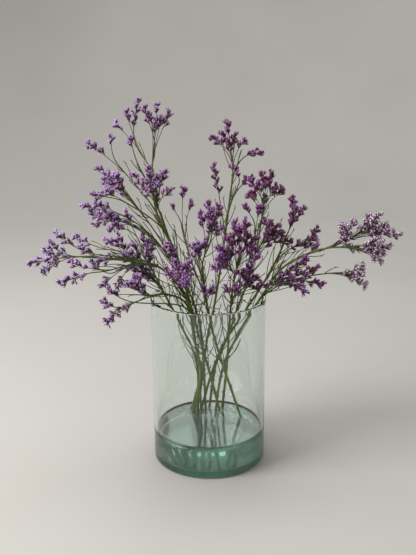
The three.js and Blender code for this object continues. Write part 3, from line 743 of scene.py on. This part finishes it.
# How far below the branch's end its second twig leaves, and how much further each one after it.
LOW_TWIG, LOW_TWIG_PITCH, LOWEST_TWIG = 25 * MM, 9 * MM, 0.3
# Where a twig's arc bends: early on along the branch, late near the end of the branch.
EARLY_BEND, LATE_BEND, LATE_LEAN, LATE_ASIDE = 0.38, 0.62, 0.06, 0.7
# The share of their length that the twigs of a head leave bare, where it isn't the usual one.
USUAL_BARE = 0.5
BARE_SHARES = {
    "01a": (0.6, 0.78, 0.66), "01b": (0.36, 0.7, 0.75), "01d": (0.68, 0.5), "02b": 0.55, "02c": 0.55,
    "02d": 0.55, "03a": (0.12, 0.28, 0.22, 0.36), "03b": 0.1, "03c": 0.3, "03d": (0.2, 0.45),
    "04b": 0.2, "04c": 0.1, "04d": 0.35, "04e": 0.15, "05a": 0.12, "05b": 0.2, "05c": 0.16,
    "06a": 0.46, "06b": 0.15, "07a": 0.6, "07b": 0.74, "08a": (0.45, 0.55, 0.5), "08b": 0.1,
    "08c": (0.22, 0.45), "08d": 0.1, "09a": 0.56, "09b": 0.58, "09c": 0.42, "10a": 0.52, "10b": 0.42,
    "11a": 0.14, "11b": 0.1, "12a": 0.36, "12b": 0.45, "12c": 0.45, "12d": 0.3, "12e": 0.1,
}
# The fuller heads have a twig between each two, which reaches this far from the branch's end.
FULL_HEADS = (
    "01a 02a 02b 02d 04b 04c 04d 05a 06a 06b 07a 07c 08a 09a 09c 10a 10b 10c 11a 11b 12a 12b 12c 12d"
).split()
BETWEEN_REACH = 0.82
# How far back from its tip a twig bears florets itself, and which way they face.
LEADER_ZONE = 12 * MM
FACING_UP = np.array([0, 0, 1.2])
STEEP = 0.8
# Side stalks, from the twig's tip back: where they start, how far apart, and how they grow longer.
FAN_START, FAN_PITCH = 5.5 * MM, 4.4 * MM
FAN_REACH, FAN_GROWTH = (3 * MM, 7 * MM), 0.35
FAN_SPREAD, REACH_SPREAD = (-0.3, 0.3), (0.85, 1.15)
STALK_SPREAD, STALK_FACING = 0.8, 0.3
STALK_PITCH = 2 * MM
STALK_BENDS = ((0, 0), (0.4, 0), (0.7, 0.04), (1, 0.14))
STALK_BARE = 0.35
# Groups of three florets along a stalk, and each floret's lean, turn, size and opening in its group.
GROUP_PITCH = 2.9 * MM
GROUP_STEP = 0.8 * MM
GROUP_LEAN = np.array([0.95, 0.65, 0.35])
GROUP_TURN = np.array([0.55, 1.15, 0.1])
GROUP_SIZE = np.array([0.95, 0.88, 0.76])
GROUP_OPEN = np.array([0.9, 0.5, 0.15])
TIP_GROUP = 1.5 * MM
TIP_TURN, TIP_LEAN, TIP_STEP = 2.1, 0.6, 0.5
FIRST_FLORET, FLORET_OUT = 0.6 * MM, 0.2 * MM
# How much the florets turn up, and how much smaller and younger the last ones on a line are.
UPRIGHT, YOUNGER = np.array([0, 0, 0.4]), 0.25
WAY_SPREAD, TURN_SPREAD, LEAN_SPREAD, OPEN_SPREAD = 0.4 * MM, 0.4, 0.14, 0.18
# Single florets, in millimetres.
PLEATS = 5
SCALE_LENGTH = 3.8
FLORET_SIZES = (0.78, 1.04)
# The shares of fresh corollas in shut and in open florets, and how open they are in a shut one.
FRESH_SHARES, LEAST_OPEN = (0.2, 0.65), 0.35
TINT_SHAPE = (0.85, 0.62)
PALE_SHARE = 0.88
# From where to where across the bouquet the florets turn redder and darker, the darkening being painted shade
# away from the window light on the left, and further right paler.
REDDER_AND_SHADED, PALER = (-190 * MM, 60 * MM), (122 * MM, 172 * MM)
# Heads that end to the left of this count as left heads. The name of a left or right floret finish is picked
# by it, but goes to no piece: all heads take the same finishes.
LEFT_HEADS = -15 * MM


def pleated(heights, radii, base, throat):
    """A funnel in millimetres: rings of twice as many points as pleats at the given heights and
    radii, where a pair of numbers is for the ridges and the grooves, shut at its base and in its
    throat."""
    turn = round_steps(2 * PLEATS)
    groove = np.arange(2 * PLEATS) % 2
    height = np.array([np.array(np.broadcast_to(h, 2))[groove] for h in heights])
    radius = np.array([np.array(np.broadcast_to(r, 2))[groove] for r in radii])
    rings = np.stack([radius * np.cos(turn), radius * np.sin(turn), height], axis=-1)
    return closed_skin(rings, (0, 0, base), (0, 0, throat))


calyx_bud = pleated([2.6, (6.1, 5.7)], [0.85, (0.72, 0.5)], 0, 4.6)
calyx_open = pleated([3.3, (7.2, 6.4)], [0.9, (1.75, 1.2)], 0, 4.2)
calyx_along = np.concatenate([np.repeat([0.4, 1.0], 2 * PLEATS), [0, 0.42]])
corolla_spent = pleated([(6.5, 6.3)], [(0.42, 0.3)], 4.9, 8.4)
corolla_open = pleated([(7.9, 7.1)], [(2.1, 0.85)], 4.9, 6.9)
corolla_along = np.concatenate([np.ones(2 * PLEATS), [0, 0.35]])
floret_scale = scale_skin(SCALE_LENGTH, 1.0, 1.1)
floret_scale_along = floret_scale[0][:, 2] / SCALE_LENGTH


def grow_florets(flowers, draws, florets, tones):
    """Florets with their roots, axes, the headings of the stalk that bears them, sizes and how far
    they are open, between their shut and their open form. The scale is on the side away from the
    stalk's tip. The tones are how red the head is, together with painted shade that darkens heads
    further right, and how pale it is."""
    roots, axes, forward, sizes, opened = florets
    count = len(roots)
    back = unit(forward - axes * (forward * axes).sum(axis=-1, keepdims=True))
    spokes = np.stack([np.cross(back, axes), back, axes], axis=1)
    opened = np.clip(opened + draws.normal(0, OPEN_SPREAD, count), 0, 1)
    fresh = draws.random(count) < np.interp(opened, (0, 1), FRESH_SHARES)
    unfolded = fresh * (LEAST_OPEN + (1 - LEAST_OPEN) * opened)
    tint = draws.beta(*TINT_SHAPE, count)
    pale = tones[1] * (draws.random(count) < PALE_SHARE)
    sizes = sizes * draws.uniform(*FLORET_SIZES, count) * MM
    for finish, (shut, wide), share, along in (
        (0, (calyx_bud, calyx_open), opened, calyx_along),
        (1, (corolla_spent, corolla_open), unfolded, corolla_along),
        (2, (floret_scale, floret_scale), 0 * opened, floret_scale_along),
    ):
        local = shut[0] + share[:, None, None] * (wide[0] - shut[0])
        own = local.shape[1]
        flowers.add(
            (placed(local, roots, spokes, sizes), *shut[1:]), finish=finish, copies=count,
            along=np.tile(along, count), tint=np.repeat(tint, own),
            fresh=np.repeat(fresh.astype(float), own),
            hue=np.full(own * count, tones[0]), pale=np.repeat(pale, own),
        )


def groups_on(draws, line, start, facing):
    """Florets along a line from a start to its tip, in groups of three: the first of a group leans
    out furthest and is the most open. The groups lean to the left and the right of the facing
    direction by turns, and the last one carries the line on."""
    length = way_along(line)[-1]
    stations = np.append(np.arange(start, length - 0.5 * GROUP_PITCH, GROUP_PITCH), length - TIP_GROUP)
    group = np.repeat(np.arange(len(stations)), 3)
    member = np.tile(np.arange(3), len(stations))
    late = group == len(stations) - 1
    step = member * GROUP_STEP * np.where(late, TIP_STEP, 1)
    way = stations[group] + step + draws.normal(0, WAY_SPREAD, len(group))
    way = np.clip(way, FIRST_FLORET, length)
    heading = unit(at(line, np.minimum(way + MM / 2, length)) - at(line, way - MM / 2))
    face = unit(facing - heading * (heading @ facing)[:, None])
    cross = np.cross(heading, face)
    hand = np.where(group % 2, 1, -1)
    turn = np.where(late, member * TIP_TURN, hand * GROUP_TURN[member])
    turn = turn + draws.normal(0, TURN_SPREAD, len(group))
    lean = GROUP_LEAN[member] * np.where(late, TIP_LEAN, 1) + draws.normal(0, LEAN_SPREAD, len(group))
    out = np.cos(turn)[:, None] * face + np.sin(turn)[:, None] * cross
    axes = unit(np.cos(lean)[:, None] * heading + np.sin(lean)[:, None] * out + UPRIGHT)
    young = 1 - YOUNGER * (way / length) ** 3
    roots = at(line, way) + FLORET_OUT * out
    return roots, axes, heading, GROUP_SIZE[member] * young, GROUP_OPEN[member] * young


def grow_stalk(greenery, flowers, draws, root, heading, out, length, tones):
    """A side stalk: it leaves the heading for the out direction on a cubic arc and turns back a
    little, with groups of florets beyond its bare part."""
    ahead = unit(math.sin(STALK_SPREAD) * out + math.cos(STALK_SPREAD) * heading)
    handles = bent(root, ahead, heading, length, STALK_BENDS)
    stalk = evenly(arc(handles, np.linspace(0, 1, LINE_STEPS)), STALK_PITCH)
    facing = heading + STALK_FACING * out
    grow_tube(greenery, stalk, *STALK_TUBE)
    grow_florets(flowers, draws, groups_on(draws, stalk, STALK_BARE * length, facing), tones)


def grow_twig(greenery, flowers, draws, handles, tube, bare, tones):
    """A flower twig on a cubic arc. Beyond its bare part florets sit on it near its tip, and on side
    stalks further back, each a golden turn round from the last."""
    line = evenly(arc(handles, np.linspace(0, 1, LINE_STEPS)), RING_PITCH)
    length = way_along(line)[-1]
    grow_tube(greenery, line, *tube)
    straight = unit(line[-1] - line[0])
    level = (0, 0, 1) if abs(straight[2]) < STEEP else (1, 0, 0)
    spin = draws.uniform(0, 2 * math.pi)
    facing = FACING_UP + unit(np.cross(straight, level)) * math.cos(spin)
    zone = (1 - bare) * length
    grow_florets(flowers, draws, groups_on(draws, line, length - min(zone, LEADER_ZONE), facing), tones)
    for step, back in enumerate(np.arange(FAN_START, zone, FAN_PITCH)):
        share = 1 - back / length
        heading = unit(arc(handles, share + 0.02)[0] - arc(handles, share - 0.02)[0])
        side = unit(np.cross(heading, level))
        turn = spin + step * GOLDEN_TURN + draws.uniform(*FAN_SPREAD)
        out = math.cos(turn) * side + math.sin(turn) * np.cross(heading, side)
        reach = min(FAN_REACH[0] + FAN_GROWTH * back, FAN_REACH[1]) * draws.uniform(*REACH_SPREAD)
        grow_stalk(greenery, flowers, draws, arc(handles, share)[0], heading, out, reach, tones)


def twig_handles(root, end, tip, along, arrival, aside):
    """A twig that leaves its branch some way before the branch's end. It starts along the branch, and
    comes into its tip from the side of that end."""
    reach = np.linalg.norm(tip - root)
    late = end + LATE_BEND * (tip - end) + LATE_LEAN * reach * arrival + LATE_ASIDE * aside
    return [root, root + EARLY_BEND * reach * along, late, tip + aside]


def calyx_finish():
    """Dry violet paper: dark and brownish at the root, palest at the rim, with fine veins. It is
    bluer on the sprays to the left and more magenta on those to the right, and as painted light and
    shade it is also lighter on the left and darker on the right."""
    finish = Finish("violet_calyx")
    tint, hue, pale = (finish.mark(name) for name in ("tint", "hue", "pale"))
    veins = finish.noise(finish.place(), 900.0, 2.0)
    shade = finish.mark("along") + 0.22 * veins - 0.11
    # The left ramp is bluer and much lighter than the right one, which is more magenta: the hue is the
    # paper's own, the lightness is painted light on the left and painted shade on the right.
    left = finish.ramp(
        shade, (0.0, (0.07, 0.042, 0.016)), (0.32, (0.14, 0.018, 0.058)),
        (0.66, (0.255, 0.092, 0.35)), (1.0, (0.82, 0.74, 1.0)))
    right = finish.ramp(
        shade, (0.0, (0.06, 0.036, 0.014)), (0.32, (0.11, 0.01, 0.036)),
        (0.66, (0.19, 0.02, 0.115)), (1.0, (0.54, 0.16, 0.42)))
    faded = finish.ramp(
        shade, (0.0, (0.07, 0.085, 0.025)), (0.28, (0.14, 0.03, 0.09)),
        (0.55, (0.42, 0.2, 0.46)), (0.82, (0.98, 0.94, 0.96)))
    color = finish.blend(pale, finish.blend(hue, left, right), faded)
    # A random tint darkens each floret towards wine red, less on pale heads. It also darkens less on the
    # left, as painted light, and more on the right, as painted shade.
    wine = tint - 0.4 * pale - 0.24 * (1 - hue)
    return finish.done({
        "Base Color": finish.blend(wine, color, (0.27, 0.1, 0.18), how="MULTIPLY"), "Roughness": 0.75,
        "Normal": finish.bump(veins, 0.08 * MM, 0.5), "Sheen Weight": 0.25, "Sheen Roughness": 0.4,
        "Specular IOR Level": 0.3})


def corolla_finish():
    """A corolla: bluish violet while fresh, dark wine red once spent. While fresh it is bluer and, as
    painted light, lighter on the left, and more magenta and, as painted shade, darker on the right.
    """
    finish = Finish("corolla")
    along = finish.mark("along")
    # Fresh corollas on the left are bluer and lighter than on the right: the lightness is painted light and
    # shade.
    left = finish.ramp(along, (0.0, (0.15, 0.07, 0.38)), (1.0, (0.6, 0.48, 1.0)))
    right = finish.ramp(along, (0.0, (0.12, 0.03, 0.2)), (1.0, (0.34, 0.17, 0.6)))
    old = finish.ramp(finish.mark("tint"), (0.0, (0.08, 0.01, 0.03)), (1.0, (0.2, 0.04, 0.1)))
    young = finish.blend(finish.mark("hue"), left, right)
    fresh = finish.mark("fresh") - 0.6 * finish.mark("pale")
    return finish.done({"Base Color": finish.blend(fresh, old, young), "Roughness": 0.65})


def floret_scale_finish():
    """The scale under a floret: green, turning to wine red and brown at its tip."""
    finish = Finish("floret_scale")
    color = finish.ramp(
        finish.mark("along") + 0.5 * finish.mark("tint") - 0.25,
        (0.0, (0.08, 0.1, 0.03)), (0.5, (0.09, 0.06, 0.03)), (1.0, (0.12, 0.035, 0.045)))
    return finish.done({"Base Color": color, "Roughness": 0.6})


flower_finishes = [calyx_finish(), corolla_finish(), floret_scale_finish()]
floret_draws = np.random.default_rng(FLORET_SEED)
for name, stem, branch, end, tips, arrival in heads:
    flowers = Growth()
    # The first tone makes a head redder and, as painted shade, darker the further right it ends; the second
    # makes it paler.
    tones = [np.interp(end[0], span, (0, 1)) for span in (REDDER_AND_SHADED, PALER)]
    if name in FULL_HEADS:
        between = end + BETWEEN_REACH * (0.5 * (tips + np.roll(tips, 1, axis=0)) - end)
        tips = np.vstack([tips, between[1 if len(tips) == 2 else 0:]])
    branch_length = way_along(branch)[-1]
    for twig, bare in enumerate(np.resize(BARE_SHARES.get(name, USUAL_BARE), len(tips))):
        down = LOW_TWIG + (twig - 1) * LOW_TWIG_PITCH if twig else 0
        low = max(branch_length - down, LOWEST_TWIG * branch_length)
        root = at(branch, low)
        along = unit(root - at(branch, low - MM))
        handles = twig_handles(root, end, tips[twig], along, arrival, BENT_ASIDE.get(name + str(twig), 0))
        tube = LOW_TWIG_TUBE if twig else TWIG_TUBE
        grow_twig(stem, flowers, floret_draws, handles, tube, bare, tones)
    piece = flowers.piece("florets_" + name, flower_finishes)
    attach(piece, "root")
    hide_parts("head_" + name)
    "florets_left" if end[0] < LEFT_HEADS else "florets_right"

# The stems again. Their skins become pieces last, because the twigs and side stalks of the heads are
# grown on to them.

stem_finishes = [stem_finish(), scale_finish()]
for number, stem in stems.items():
    piece = stem.piece("green_stem_" + number, stem_finishes)
    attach(piece, "root")
    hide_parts("stem_" + number)

# The room. A pale floor that sweeps up far away all round. A large window light comes from the left
# and the front, a wide one from the ceiling, a weak one from the right and one from far behind.

FLOOR_DROP = 0.4 * MM
FLOOR_RINGS = (0.4, 0.9)
FLOOR_COLUMNS = 96
SWEEP_START, SWEEP_RADIUS, SWEEP_STEPS = 1.6, 1.3, 24
WALL_TOP = 3.0
ROOM_COLOR, ROOM_STRENGTH = (0.93, 0.96, 1.0, 1), 0.42
BOUQUET_MIDDLE = np.array([0, 0, 0.25])
# A light is its place, its width and height, its power and its colour.
LIGHTS = {
    "window": ((-1.45, -0.62, 1.1), (0.95, 0.95), 34, (1.0, 0.99, 0.97)),
    "fill": ((1.6, -1.2, 0.9), (1.2, 1.2), 3, (1.0, 0.9, 0.82)),
    "back": ((0.35, 2.6, 1.4), (1.5, 0.7), 10, (0.96, 1.0, 0.98)),
    "ceiling": ((-0.2, 0.3, 2.1), (1.2, 1.2), 22, (0.97, 0.99, 1.0)),
}


def floor_finish():
    """Matt paint in two pale greys, in large soft clouds."""
    finish = Finish("pale_floor")
    clouds = finish.noise(finish.place(), 1.6, 3.0)
    color = finish.blend(clouds, (0.44, 0.415, 0.38), (0.54, 0.525, 0.5))
    return finish.done({"Base Color": color, "Roughness": 0.9, "Specular IOR Level": 0.2})


def soft_light(name, place, size, power, color):
    """A flat rectangular light that looks at the middle of the bouquet."""
    lamp = bpy.data.lights.new(name, "AREA")
    lamp.shape = "RECTANGLE"
    lamp.size, lamp.size_y = size
    lamp.energy = power
    lamp.color = color
    light = bpy.data.objects.new(name, lamp)
    light.location = place
    aim = unit(BOUQUET_MIDDLE - np.array(place))
    light.rotation_euler = Vector(aim).to_track_quat("-Z", "Y").to_euler()
    bpy.context.scene.collection.objects.link(light)


# Drawn from its far edge inwards, the floor faces up, and without its first triangles it is open above.
floor_profile = np.vstack([
    [[radius, 0] for radius in FLOOR_RINGS],
    quarter((SWEEP_START, SWEEP_RADIUS), SWEEP_RADIUS, -math.pi / 2, steps=SWEEP_STEPS),
    [[SWEEP_START + SWEEP_RADIUS, WALL_TOP]],
]) - (0, FLOOR_DROP)
points, quads, triangles = turned(floor_profile[::-1], FLOOR_COLUMNS)
floor_skin = points, quads, triangles[FLOOR_COLUMNS:]
mesh_object("floor", floor_skin, [floor_finish()])

world = bpy.data.worlds.new("room")
world.use_nodes = True
background = world.node_tree.nodes["Background"].inputs
background["Color"].default_value = ROOM_COLOR
background["Strength"].default_value = ROOM_STRENGTH
bpy.context.scene.world = world
for name, light in LIGHTS.items():
    soft_light(name, *light)

# Light crosses the glass and the water many times, so it may go on for more turns than usual.
light_paths = bpy.context.scene.cycles
light_paths.max_bounces = 32
light_paths.transmission_bounces = 32
light_paths.glossy_bounces = 16
bpy.context.scene.view_settings.view_transform = "Standard"

# The camera. It looks a little down on the vase from straight in front, and is turned a hair about
# its own axis.

CAMERA_PLACE = (0, -0.992, 0.546)
CAMERA_PITCH, CAMERA_ROLL = math.radians(16.6), math.radians(-0.46)
CAMERA_LENS, CAMERA_SENSOR = 51.9, 36
CAMERA_START = 0.05

view = bpy.data.cameras.new("camera")
view.lens, view.sensor_width = CAMERA_LENS, CAMERA_SENSOR
view.clip_start = CAMERA_START
camera = bpy.data.objects.new("camera", view)
camera.matrix_world = (
    Matrix.Translation(CAMERA_PLACE)
    @ Matrix.Rotation(math.pi / 2 - CAMERA_PITCH, 4, "X")
    @ Matrix.Rotation(CAMERA_ROLL, 4, "Z"))
bpy.context.scene.collection.objects.link(camera)
bpy.context.scene.camera = camera
